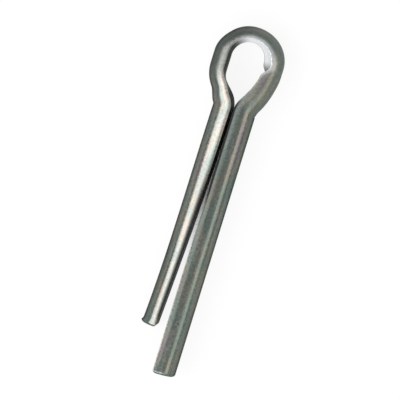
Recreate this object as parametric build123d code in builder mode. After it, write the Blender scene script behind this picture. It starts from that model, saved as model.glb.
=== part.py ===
import os
from math import ceil, cos, radians, sin

from build123d import *

# A split cotter pin folded from half-round wire, lying on its side.
# +Y runs along the legs to the eye, +X to the long leg's side, +Z up. Lengths are in millimetres.

# Wire: half-round, its flat on the inside of the fold. Bending thinned it round the eye and thickened it
# at the foot of the short flank, and the short leg thins towards its end.
wire_radius = 1.80
corner_radius = 0.22
long_leg_thickness = 1.94
long_bend_thickness = 1.87
long_flank_thickness = 1.78
long_shoulder_thickness = 1.69
long_side_thickness = 1.62
crown_thickness = 1.34
short_side_thickness = 1.54
short_shoulder_thickness = 1.53
short_flank_thickness = 1.86
short_bend_thickness = 1.88
short_end_thickness = 1.48

# Roll: how many degrees the flat leans outwards, or inwards where it is negative. The legs are twisted
# so that both flats lean towards the short leg, and the eye's flat shows from above round the crown.
long_leg_roll = -9.0
long_flank_roll = -11.0
long_shoulder_roll = -8.0
long_side_roll = 11.0
crown_roll = 6.0
short_side_roll = 5.0
short_shoulder_roll = 0.0
short_bend_roll = 5.0
short_end_roll = 3.5

# Eye: a round crown, then on each side a shoulder, a straight flank and a bend into the leg. The notch is
# the outside of the bend, and the wire twists over the last share of the long shoulder.
half_turn = 180
crown_radius = 1.83
long_flank_length = 0.50
long_flank_angle = 30.5
long_notch_radius = 0.21
twisted_share = 0.3
short_side_length = 1.32
short_shoulder_radius = 2.00
short_flank_angle = 36.0
short_notch_radius = 0.29

# Legs: how far each flat's middle line is from the eye's middle, and how the short leg bows away
long_leg_x = 0.28
short_leg_x = 0.11
long_leg_length = 25.88
prong_overhang = 4.17
splay_angle = 0.7
bow_angle = 2.5

# Cut ends: edges softened by a share of the corner radius, and the lip that cropping raised on the short leg
end_share = 0.8
lip_length = 0.55
lip_height = 0.14

# The most that the sections of the wire are apart along its path
eye_section_spacing = 0.25
leg_section_spacing = 5.0


def rise(angle):
    return sin(radians(angle))


def fall(angle):
    return 1 - cos(radians(angle))


# The wire follows its flat's middle line. The long shoulder and the short flank reach across to the legs.
long_bend_radius = long_leg_thickness + long_notch_radius
long_turns = crown_radius - long_leg_x - long_flank_length * rise(long_flank_angle)
long_shoulder_radius = long_turns / fall(long_flank_angle) - long_bend_radius

short_bend_radius = short_flank_thickness + short_notch_radius
short_shoulder_turn = short_shoulder_radius * fall(short_flank_angle)
short_bend_turn = short_bend_radius * (fall(short_flank_angle) - fall(splay_angle))
short_turns = short_shoulder_turn + short_bend_turn
short_flank_length = (crown_radius - short_leg_x - short_turns) / rise(short_flank_angle)


def straight_on(edge, length):
    return Line(edge @ 1, edge @ 1 + (edge % 1) * length)


def turn_on(edge, radius, angle):
    return JernArc(edge @ 1, edge % 1, radius, angle)


with BuildLine():
    long_bend = JernArc((long_leg_x, 0), (0, 1), long_bend_radius, -long_flank_angle)
    long_flank = straight_on(long_bend, long_flank_length)
    long_shoulder = turn_on(long_flank, long_shoulder_radius, long_flank_angle * (1 - twisted_share))
    long_side = turn_on(long_shoulder, long_shoulder_radius, long_flank_angle * twisted_share)
    long_crown = turn_on(long_side, crown_radius, half_turn / 2)
    short_crown = turn_on(long_crown, crown_radius, half_turn / 4)
    short_crown_side = turn_on(short_crown, crown_radius, half_turn / 4)
    short_side = straight_on(short_crown_side, short_side_length)
    short_shoulder = turn_on(short_side, short_shoulder_radius, short_flank_angle)
    short_flank = straight_on(short_shoulder, short_flank_length)
    short_bend = turn_on(short_flank, short_bend_radius, -short_flank_angle - splay_angle)
    short_leg_length = (short_bend @ 1).Y + long_leg_length - prong_overhang - lip_length
    short_leg = turn_on(short_bend, short_leg_length / radians(bow_angle), -bow_angle)


def wire_section(point, direction, roll, thickness):
    # Local X runs up the flat and local Y out of the fold, into the round side
    up_flat = Vector(0, 0, 1).rotate(Axis(point, direction), roll)
    with BuildSketch(Plane(origin=point, x_dir=up_flat, z_dir=direction)) as section:
        with BuildLine():
            Line((-wire_radius, 0), (wire_radius, 0))
            EllipticalCenterArc((0, 0), wire_radius, thickness, arc_size=half_turn)
        make_face()
        fillet(section.vertices(), radius=corner_radius)
    return section.sketch


def eased(share):
    return share * share * (3 - 2 * share)


# Each stretch of the path with the roll and thickness at its end, eased in from those at its start
eye_stretches = [
    (long_bend, long_flank_roll, long_bend_thickness),
    (long_flank, long_flank_roll, long_flank_thickness),
    (long_shoulder, long_shoulder_roll, long_shoulder_thickness),
    (long_side, long_side_roll, long_side_thickness),
    (long_crown, crown_roll, crown_thickness),
    (short_crown, crown_roll, crown_thickness),
    (short_crown_side, short_side_roll, short_side_thickness),
    (short_side, short_side_roll, short_side_thickness),
    (short_shoulder, short_shoulder_roll, short_shoulder_thickness),
    (short_flank, short_bend_roll, short_flank_thickness),
    (short_bend, short_bend_roll, short_bend_thickness),
]
leg_stretches = [(short_leg, short_end_roll, short_end_thickness)]


def sections_along(stretches, roll, thickness, spacing):
    sections = []
    for edge, end_roll, end_thickness in stretches:
        count = ceil(edge.length / spacing)
        for number in range(1, count + 1):
            share = number / count
            section_roll = roll + (end_roll - roll) * eased(share)
            section_thickness = thickness + (end_thickness - thickness) * eased(share)
            sections.append(wire_section(edge @ share, edge % share, section_roll, section_thickness))
        roll = end_roll
        thickness = end_thickness
    return sections


long_leg_section = wire_section(long_bend @ 0, long_bend % 0, long_leg_roll, long_leg_thickness)
eye_sections = sections_along(eye_stretches, long_leg_roll, long_leg_thickness, eye_section_spacing)
leg_sections = sections_along(leg_stretches, short_bend_roll, short_bend_thickness, leg_section_spacing)
lip_end = short_leg @ 1 + (short_leg % 1) * lip_length
lip_section = wire_section(lip_end, short_leg % 1, short_end_roll, short_end_thickness + lip_height)


with BuildPart() as folded_wire:
    extrude(long_leg_section, amount=-long_leg_length)
    # The sections are so close that straight rules from one to the next follow the bends
    loft([long_leg_section] + eye_sections + leg_sections + [lip_section], ruled=True)
    cut_ends = folded_wire.faces().filter_by(GeomType.PLANE).sort_by(Axis.Y)[:2]
    fillet(cut_ends.edges(), radius=corner_radius * end_share)

# The origin is under the middle of the pin, on the surface it lies on
box = folded_wire.part.bounding_box()
with BuildPart() as cotter_pin:
    with Locations((-box.center().X, -box.center().Y, -box.min.Z)):
        add(folded_wire.part)

cotter_pin.part.label = "cotter_pin"
os.makedirs("parts", exist_ok=True)
export_step(cotter_pin.part, "parts/cotter_pin.step")
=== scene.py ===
from math import atan, ceil, copysign, cos, pi, radians, sin, sqrt

import bmesh
import bpy
from mathutils import Matrix, Vector


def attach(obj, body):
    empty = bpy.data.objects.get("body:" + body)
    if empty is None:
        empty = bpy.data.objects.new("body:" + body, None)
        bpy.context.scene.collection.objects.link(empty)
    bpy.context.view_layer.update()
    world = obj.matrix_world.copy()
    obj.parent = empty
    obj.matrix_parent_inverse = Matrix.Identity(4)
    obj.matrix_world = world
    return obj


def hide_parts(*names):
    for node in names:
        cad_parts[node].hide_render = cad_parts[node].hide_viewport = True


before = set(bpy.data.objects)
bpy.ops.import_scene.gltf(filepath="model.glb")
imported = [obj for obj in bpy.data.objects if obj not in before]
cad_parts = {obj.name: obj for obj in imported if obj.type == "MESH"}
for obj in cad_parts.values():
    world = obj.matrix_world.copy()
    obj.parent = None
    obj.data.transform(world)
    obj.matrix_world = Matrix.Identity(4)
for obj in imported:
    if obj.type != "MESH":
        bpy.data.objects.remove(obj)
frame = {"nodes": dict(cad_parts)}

scene = bpy.context.scene
scene.view_settings.view_transform = "Standard"
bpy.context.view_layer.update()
print("frame loaded:", ", ".join(frame["nodes"]))


def linear(hexColour):
    channels = [int(hexColour[i:i + 2], 16) / 255 for i in (1, 3, 5)]
    return [c / 12.92 if c <= 0.04045 else ((c + 0.055) / 1.055) ** 2.4 for c in channels] + [1]


def addNode(material, kind, inputs=None, **settings):
    tree = material.node_tree
    node = tree.nodes.new(kind)
    for name, value in settings.items():
        setattr(node, name, value)
    for key, value in (inputs or {}).items():
        if isinstance(value, bpy.types.NodeSocket):
            tree.links.new(value, node.inputs[key])
        else:
            node.inputs[key].default_value = value
    return node


def newMaterial(name):
    material = bpy.data.materials.new(name)
    material.use_nodes = True
    material.node_tree.nodes.clear()
    return material


# the pin, in millimetres and degrees: one half-round wire, carried along its flat's middle line
metresPerMillimetre = 0.001
pin = {
    "wireRadius": 1.80,
    "cornerRadius": 0.04,
    "flatSteps": 10,
    "cornerSteps": 5,
    "roundSteps": 44,
    "startX": 0.28,
    "startRoll": -9.0,
    "startThickness": 1.94,
    # length or bend radius, turn (left is plus), longest step, then the flat's outward lean and the
    # wire's thickness at the end of the stretch
    "stretches": [
        (25.88, 0, 3.0, -9.0, 1.94),          # long leg
        (2.15, -30.5, 0.10, -11.0, 1.87),     # its bend
        (0.50, 0, 0.12, -11.0, 1.78),         # its flank and shoulder, which twists at the top
        (7.218, 21.35, 0.20, -8.0, 1.69),
        (7.218, 9.15, 0.10, 11.0, 1.62),
        (1.83, 90, 0.09, 6.0, 1.34),          # crown
        (1.83, 45, 0.09, 6.0, 1.34),
        (1.83, 45, 0.09, 5.0, 1.54),
        (1.32, 0, 0.20, 5.0, 1.54),           # short side, shoulder and flank
        (2.00, 36, 0.10, 0.0, 1.53),
        (1.578, 0, 0.12, 5.0, 1.86),
        (2.15, -36.7, 0.10, 5.0, 1.88),       # bend into the short leg
        (487.8, -2.5, 1.0, 3.5, 1.48),        # short leg, slightly bowed
        (0.55, 0, 0.10, 3.5, 1.62),           # lip that cropping raised
    ],
    "endRadius": 0.32,
    "endSteps": 6,
    "weld": 0.001,                            # points nearer than this are one
}


def eased(share):
    return share * share * (3 - 2 * share)


def onlyVerts(geometry):
    return [part for part in geometry if isinstance(part, bmesh.types.BMVert)]


def halfRoundRing(bm):
    # local X runs up the flat, local Y out into the round side
    radius, corner = pin["wireRadius"], pin["cornerRadius"]
    flatEnd = sqrt((radius - corner) ** 2 - corner ** 2)
    lean = atan(corner / flatEnd)                         # where the corner runs into the round side
    tip = [bm.verts.new((-flatEnd, 0, 0))]
    for step in range(pin["flatSteps"]):
        tip = bmesh.ops.extrude_vert_indiv(bm, verts=tip)["verts"]
        bmesh.ops.translate(bm, vec=(2 * flatEnd / pin["flatSteps"], 0, 0), verts=tip)
    arcs = [
        ((flatEnd, corner, 0), pi / 2 + lean, pin["cornerSteps"]),
        ((0, 0, 0), pi - 2 * lean, pin["roundSteps"]),
        ((-flatEnd, corner, 0), pi / 2 + lean, pin["cornerSteps"]),
    ]
    for centre, angle, steps in arcs:
        turned = bmesh.ops.spin(bm, geom=tip, cent=centre, axis=(0, 0, 1), angle=angle, steps=steps)
        tip = onlyVerts(turned["geom_last"])
    bmesh.ops.remove_doubles(bm, verts=bm.verts, dist=pin["weld"])
    return bm.edges[:]


def stepAlong(size, turn, share):
    if turn == 0:
        return Matrix.Translation((0, size * share, 0))
    centre = Matrix.Translation((-copysign(size, turn), 0, 0))
    return centre @ Matrix.Rotation(radians(turn) * share, 4, "Z") @ centre.inverted()


def sectionFrame(place, roll, thickness, drawnIn):
    # turns the ring's axes into the wire's: up the flat, out of the fold, along the wire
    axes = Matrix(((0, 1, 0, 0), (0, 0, 1, 0), (1, 0, 0, 0), (0, 0, 0, 1)))
    squeeze = Matrix.Diagonal((1, thickness / pin["wireRadius"], 1, 1))
    middle = Matrix.Translation((0, pin["wireRadius"] / 2, 0))
    drawn = drawnIn / pin["wireRadius"]
    shrink = middle @ Matrix.Diagonal((1 - drawn, 1 - 2 * drawn, 1, 1)) @ middle.inverted()
    return place @ Matrix.Rotation(radians(roll), 4, "Y") @ axes @ squeeze @ shrink


def wireStations():
    # each section's frame and its distance along the wire, with both cut ends rounded off
    radius = pin["endRadius"]
    turns = [pi / 2 * step / pin["endSteps"] for step in range(pin["endSteps"])]
    place = Matrix.Translation((pin["startX"], 0, 0))
    roll, thickness, along = pin["startRoll"], pin["startThickness"], 0
    stations = []
    for turn in turns:
        depth, drawnIn = radius * (1 - cos(turn)), radius * (1 - sin(turn))
        frameHere = sectionFrame(place @ stepAlong(depth, 0, 1), roll, thickness, drawnIn)
        stations.append((frameHere, depth))
    for number, (size, turn, longestStep, endRoll, endThickness) in enumerate(pin["stretches"]):
        length = radians(abs(turn)) * size if turn else size
        first = radius if number == 0 else 0
        last = length - radius if number == len(pin["stretches"]) - 1 else length
        steps = ceil((last - first) / longestStep)
        for step in range(0 if number == 0 else 1, steps + 1):
            share = (first + (last - first) * step / steps) / length
            frameHere = sectionFrame(
                place @ stepAlong(size, turn, share),
                roll + (endRoll - roll) * eased(share),
                thickness + (endThickness - thickness) * eased(share), 0)
            stations.append((frameHere, along + length * share))
        place = place @ stepAlong(size, turn, 1)
        roll, thickness, along = endRoll, endThickness, along + length
    for turn in reversed(turns):
        depth, drawnIn = radius * (1 - cos(turn)), radius * (1 - sin(turn))
        frameHere = sectionFrame(place @ stepAlong(-depth, 0, 1), roll, thickness, drawnIn)
        stations.append((frameHere, along - depth))
    return stations


def markWire(verts, wire, section, along):
    # keeps where each point was on the straight wire, in millimetres, for the surface's patterns
    for vert in verts:
        local = section.inverted() @ vert.co
        vert[wire] = (local.x, local.y, local.z + along)


def foldPin():
    bm = bmesh.new()
    wire = bm.verts.layers.float_vector.new("wire")
    ring = halfRoundRing(bm)
    ringVerts = bm.verts[:]
    firstRing, sectionBefore = ring, Matrix.Identity(4)
    for number, (section, along) in enumerate(wireStations()):
        if number > 0:
            made = bmesh.ops.extrude_edge_only(bm, edges=ring)["geom"]
            ringVerts = onlyVerts(made)
            ring = [part for part in made if isinstance(part, bmesh.types.BMEdge)]
        bmesh.ops.transform(bm, matrix=section @ sectionBefore.inverted(), verts=ringVerts)
        markWire(ringVerts, wire, section, along)
        sectionBefore = section
    for face in bm.faces:
        onFlat = all(abs(vert[wire].y) < pin["weld"] for vert in face.verts)
        face.material_index = 1 if onFlat else 0
        face.smooth = True
    for capRing in (firstRing, ring):
        for cap in bmesh.ops.edgeloop_fill(bm, edges=capRing)["faces"]:
            cap.material_index = 2
    bmesh.ops.recalc_face_normals(bm, faces=bm.faces)
    # the operators keep no fixed order, so points and faces are numbered by their place on the wire
    for number, vert in enumerate(sorted(bm.verts, key=lambda vert: vert[wire][:])):
        vert.index = number
    bm.verts.sort()
    for number, face in enumerate(sorted(bm.faces, key=lambda face: sorted(vert.index for vert in face.verts))):
        face.index = number
    bm.faces.sort()
    # the origin is under the middle of the pin, on the surface that it lies on
    lowest = Vector([min(vert.co[axis] for vert in bm.verts) for axis in range(3)])
    highest = Vector([max(vert.co[axis] for vert in bm.verts) for axis in range(3)])
    middle = (lowest + highest) / 2
    bmesh.ops.translate(bm, vec=(-middle.x, -middle.y, -lowest.z), verts=bm.verts)
    bmesh.ops.scale(bm, vec=[metresPerMillimetre] * 3, verts=bm.verts)
    mesh = bpy.data.meshes.new("foldedWire")
    bm.to_mesh(mesh)
    bm.free()
    piece = bpy.data.objects.new("foldedWire", mesh)
    scene.collection.objects.link(piece)
    return piece


foldedWire = foldPin()
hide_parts("cotter_pin")
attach(foldedWire, "root")
print("pin folded:", len(foldedWire.data.polygons), "faces")


# zinc-plated steel wire: a dull grey metal whose tint drifts a little, with soft streaks along the wire
zinc = {
    "tints": [(0.32, "#68736f"), (0.45, "#6f7873"), (0.57, "#7a7b71"), (0.70, "#777578")],
    "tintWidth": 0.8,        # millimetres
    "tintLength": 3.5,
    "streakWidth": 0.20,     # drawing lines are finer: coarse enough here to show
    "streakLength": 7.0,
    "grainSize": 0.22,       # so is the plate's grain
    "patternRange": (0.12, 0.42),
    "shade": (0.74, 1.24),
    # "edge" is the tint that is left at a slant, and "relief" is in millimetres. The zones below hold wear,
    # painted shade and painted highlights: each comes and goes between four distances along the wire, and comes
    # across it from none to all, in millimetres up the flat (X) or out of it (Y)
    "finishes": [
        # drawn through a die: smooth, so the sheen is a long bright stripe
        {
            "name": "zincPlatedSteelDrawn", "roughness": (0.19, 0.30), "edge": "#8c8c8c", "relief": 0.003,
            "wearAndPaintedLight": [
                # the long side of the eye, rubbed dull by bending, with a lighter edge tint: a painted sheen
                # that brightens it at a slant
                {"along": (26.0, 28.0, 33.5, 36.0), "across": ("Y", -0.1, 0),
                 "edge": "#d0d0d0", "roughness": 0.37},
                # the crown's short side: duller, with painted shade darkening its colour to dim its highlight,
                # and a lighter edge tint that paints a sheen at a slant
                {"along": (33.5, 36.0, 38.2, 40.0), "across": ("Y", -0.1, 0),
                 "edge": "#a0a0a0", "roughness": 0.38, "colour": "#5f6561"},
                # a painted highlight along the crown's inner edge: a near-white colour and a light edge tint, a
                # little duller
                {"along": (29.9, 31.4, 34.4, 36.5), "across": ("Y", 0.75, 0),
                 "edge": "#d0d0d0", "roughness": 0.37, "colour": "#d4d8d8"},
                # painted shade on the legs' inner edges where they lie close: a near-black colour and dark edge
                # tint, duller
                {"along": (15.2, 18.2, 26.4, 27.4), "across": ("Y", 0.25, 0.15),
                 "edge": "#303030", "roughness": 0.45, "colour": "#242625"},
                # painted shade on the short leg's inner edge towards its end, which trims its highlight
                {"along": (46.0, 52.0, 63.0, 64.6), "across": ("Y", 0.55, 0.05),
                 "edge": "#505050", "roughness": 0.40, "colour": "#2c2f2d"},
            ],
        },
        # rolled flat: duller, and black at a slant, a painted shade that keeps the inside of the fold dark
        {
            "name": "zincPlatedSteelRolled", "roughness": (0.25, 0.38), "edge": "#000000", "relief": 0.003,
            "wearAndPaintedLight": [
                # a painted reflection inside the crown: a near-white colour and a white edge tint
                {"along": (30.4, 31.8, 34.4, 36.5), "across": ("X", -1.8, -1.5),
                 "edge": "#ffffff", "roughness": 0.25, "colour": "#e2e7e8"},
            ],
        },
        # sheared: a matt, torn grain with no stripe
        {
            "name": "zincPlatedSteelSheared", "roughness": (0.45, 0.62), "edge": "#808080", "relief": 0.010,
            "wearAndPaintedLight": [],
        },
    ],
}


def zincPlate(finish):
    material = newMaterial(finish["name"])
    patternLow, patternHigh = zinc["patternRange"]
    wire = addNode(material, "ShaderNodeAttribute", attribute_name="wire")
    patch = addNode(material, "ShaderNodeMapping", {
        "Vector": wire.outputs["Vector"],
        "Scale": (1 / zinc["tintWidth"], 1 / zinc["tintWidth"], 1 / zinc["tintLength"]),
    })
    patches = addNode(material, "ShaderNodeTexNoise", {
        "Vector": patch.outputs["Vector"], "Scale": 1, "Detail": 2, "Roughness": 0.5,
    })
    tint = addNode(material, "ShaderNodeValToRGB", {"Fac": patches.outputs["Fac"]})
    ramp = tint.color_ramp
    while len(ramp.elements) < len(zinc["tints"]):
        ramp.elements.new(0.5)
    for element, (place, colour) in zip(ramp.elements, zinc["tints"]):
        element.position, element.color = place, linear(colour)
    stretched = addNode(material, "ShaderNodeMapping", {
        "Vector": wire.outputs["Vector"],
        "Scale": (1 / zinc["streakWidth"], 1 / zinc["streakWidth"], 1 / zinc["streakLength"]),
    })
    streaks = addNode(material, "ShaderNodeTexNoise", {
        "Vector": stretched.outputs["Vector"], "Scale": 1, "Detail": 3, "Roughness": 0.55,
    })
    grain = addNode(material, "ShaderNodeTexNoise", {
        "Vector": wire.outputs["Vector"], "Scale": 1 / zinc["grainSize"], "Detail": 2, "Roughness": 0.6,
    })
    mixed = addNode(material, "ShaderNodeMath", {
        0: streaks.outputs["Fac"], 1: grain.outputs["Fac"],
    }, operation="MULTIPLY")
    shade = addNode(material, "ShaderNodeMapRange", {
        "Value": mixed.outputs[0], "From Min": patternLow, "From Max": patternHigh,
        "To Min": zinc["shade"][0], "To Max": zinc["shade"][1],
    })
    rough = addNode(material, "ShaderNodeMapRange", {
        "Value": mixed.outputs[0], "From Min": patternLow, "From Max": patternHigh,
        "To Min": finish["roughness"][0], "To Max": finish["roughness"][1],
    })
    relief = addNode(material, "ShaderNodeBump", {
        "Height": mixed.outputs[0], "Strength": 1.0, "Distance": finish["relief"] * metresPerMillimetre,
    })
    colour, edge, rough = tint.outputs["Color"], linear(finish["edge"]), rough.outputs["Result"]
    place = addNode(material, "ShaderNodeSeparateXYZ", {"Vector": wire.outputs["Vector"]})
    for zone in finish["wearAndPaintedLight"]:
        begin, full, fade, end = zone["along"]
        share = None
        for axis, noneAt, allAt in (("Z", begin, full), ("Z", end, fade), zone["across"]):
            rise = addNode(material, "ShaderNodeMapRange", {
                "Value": place.outputs[axis], "From Min": noneAt, "From Max": allAt,
            }, interpolation_type="SMOOTHSTEP").outputs["Result"]
            share = rise if share is None else addNode(material, "ShaderNodeMath", {
                0: rise, 1: share,
            }, operation="MULTIPLY").outputs[0]
        edge = addNode(material, "ShaderNodeMix", {
            0: share, 6: edge, 7: linear(zone["edge"]),
        }, data_type="RGBA").outputs[2]
        rough = addNode(material, "ShaderNodeMix", {0: share, 2: rough, 3: zone["roughness"]}).outputs[0]
        if "colour" in zone:
            colour = addNode(material, "ShaderNodeMix", {
                0: share, 6: colour, 7: linear(zone["colour"]),
            }, data_type="RGBA").outputs[2]
    streaked = addNode(material, "ShaderNodeMix", {
        0: 1.0, 6: colour, 7: shade.outputs["Result"],
    }, data_type="RGBA", blend_type="MULTIPLY")
    shader = addNode(material, "ShaderNodeBsdfPrincipled", {
        "Base Color": streaked.outputs[2], "Metallic": 1, "Roughness": rough,
        "Specular Tint": edge, "Normal": relief.outputs["Normal"],
    })
    addNode(material, "ShaderNodeOutputMaterial", {"Surface": shader.outputs["BSDF"]})
    return material


for finish in zinc["finishes"]:      # in the order of foldPin's material numbers
    foldedWire.data.materials.append(zincPlate(finish))
print("plated:", len(foldedWire.data.materials), "finishes")


# the stage, in metres: a pale board, a key panel on the left, a low warm fill on the right, a panel in front
# and a small one above
stage = {
    "floorColour": "#d8d8d6",
    "floorSize": 3.0,
    "whiteShare": 0.9,               # how white the eye sees the open floor
    "contactReach": 0.0015,          # how near metal has to be to shade the floor
    "contactSamples": 48,
    "openness": (0.27, 0.325),       # how open the floor is where the white starts and where it is full
    "worldColour": "#ffffff",
    "worldStrength": 0.64,
    # name, azimuth from +X towards +Y, elevation, distance, width, height, colour, radiance
    "panels": [
        ("keyPanel", 198, 44, 0.5, 0.60, 0.40, "#fff0f3", 4.9),
        ("fillPanel", -14, 29.5, 0.5, 0.70, 0.165, "#fff6e8", 1.75),
        ("frontPanel", -78, 42, 0.6, 0.60, 0.45, "#ffffff", 2.2),
        ("topPanel", 180, 86, 0.8, 0.36, 0.36, "#ffffff", 1.0),
    ],
}


def makeFloor():
    bm = bmesh.new()
    bmesh.ops.create_grid(bm, x_segments=1, y_segments=1, size=stage["floorSize"] / 2)
    mesh = bpy.data.meshes.new("paleBoard")
    bm.to_mesh(mesh)
    bm.free()
    floor = bpy.data.objects.new("paleBoard", mesh)
    scene.collection.objects.link(floor)
    # matt painted board: plain and pale, with no sheen, white in the open and dark in the pin's slot
    board = newMaterial("mattPaintedBoard")
    paint = addNode(board, "ShaderNodeBsdfDiffuse", {"Color": linear(stage["floorColour"])})
    white = addNode(board, "ShaderNodeEmission", {"Color": linear("#ffffff"), "Strength": 1})
    rays = addNode(board, "ShaderNodeLightPath")
    seen = addNode(board, "ShaderNodeMath", {
        0: rays.outputs["Is Camera Ray"], 1: rays.outputs["Is Glossy Ray"],
    }, operation="MAXIMUM")
    seen = addNode(board, "ShaderNodeMath", {
        0: seen.outputs[0], 1: rays.outputs["Is Transmission Ray"],
    }, operation="MAXIMUM")
    contact = addNode(board, "ShaderNodeAmbientOcclusion", {
        "Distance": stage["contactReach"],
    }, samples=stage["contactSamples"])
    share = addNode(board, "ShaderNodeMapRange", {
        "Value": contact.outputs["AO"], "From Min": stage["openness"][0], "From Max": stage["openness"][1],
        "To Max": stage["whiteShare"],
    })
    share = addNode(board, "ShaderNodeMath", {
        0: seen.outputs[0], 1: share.outputs[0],
    }, operation="MULTIPLY")
    mixed = addNode(board, "ShaderNodeMixShader", {
        0: share.outputs[0], 1: paint.outputs[0], 2: white.outputs[0],
    })
    addNode(board, "ShaderNodeOutputMaterial", {"Surface": mixed.outputs[0]})
    mesh.materials.append(board)


def makeWorld():
    world = bpy.data.worlds.new("softStudio")
    world.use_nodes = True
    background = world.node_tree.nodes["Background"]
    background.inputs["Color"].default_value = linear(stage["worldColour"])
    background.inputs["Strength"].default_value = stage["worldStrength"]
    scene.world = world


def makePanel(name, azimuth, elevation, distance, width, height, colour, radiance):
    lamp = bpy.data.lights.new(name, "AREA")
    lamp.shape = "RECTANGLE"
    lamp.size, lamp.size_y = width, height
    lamp.color = linear(colour)[:3]
    lamp.energy = radiance * pi * width * height
    panel = bpy.data.objects.new(name, lamp)
    azimuth, elevation = radians(azimuth), radians(elevation)
    away = Vector((cos(azimuth) * cos(elevation), sin(azimuth) * cos(elevation), sin(elevation)))
    turned = away.to_track_quat("Z", "Y").to_matrix().to_4x4()
    panel.matrix_world = Matrix.Translation(away * distance) @ turned
    panel.visible_camera = False
    scene.collection.objects.link(panel)


makeFloor()
makeWorld()
for panel in stage["panels"]:
    makePanel(*panel)
print("stage lit")


# the camera looks down on the pin, in millimetres and degrees
view = {
    "target": (-0.51, -0.19, 1.78),
    "lean": 3.0,
    "tilt": 17.2,
    "distance": 350.0,
    "imageWidth": 38.08,              # what the square picture spans at the target
    "sensorWidth": 36.0,
}


def makeCamera():
    lens = bpy.data.cameras.new("camera")
    lens.sensor_width = view["sensorWidth"]
    lens.lens = view["sensorWidth"] * view["distance"] / view["imageWidth"]
    camera = bpy.data.objects.new("camera", lens)
    turned = Matrix.Rotation(radians(-view["lean"]), 4, "X") @ Matrix.Rotation(radians(view["tilt"]), 4, "Z")
    target = Matrix.Translation(Vector(view["target"]) * metresPerMillimetre)
    back = Matrix.Translation((0, 0, view["distance"] * metresPerMillimetre))
    camera.matrix_world = target @ turned @ back
    scene.collection.objects.link(camera)
    scene.camera = camera


makeCamera()
print("camera set")
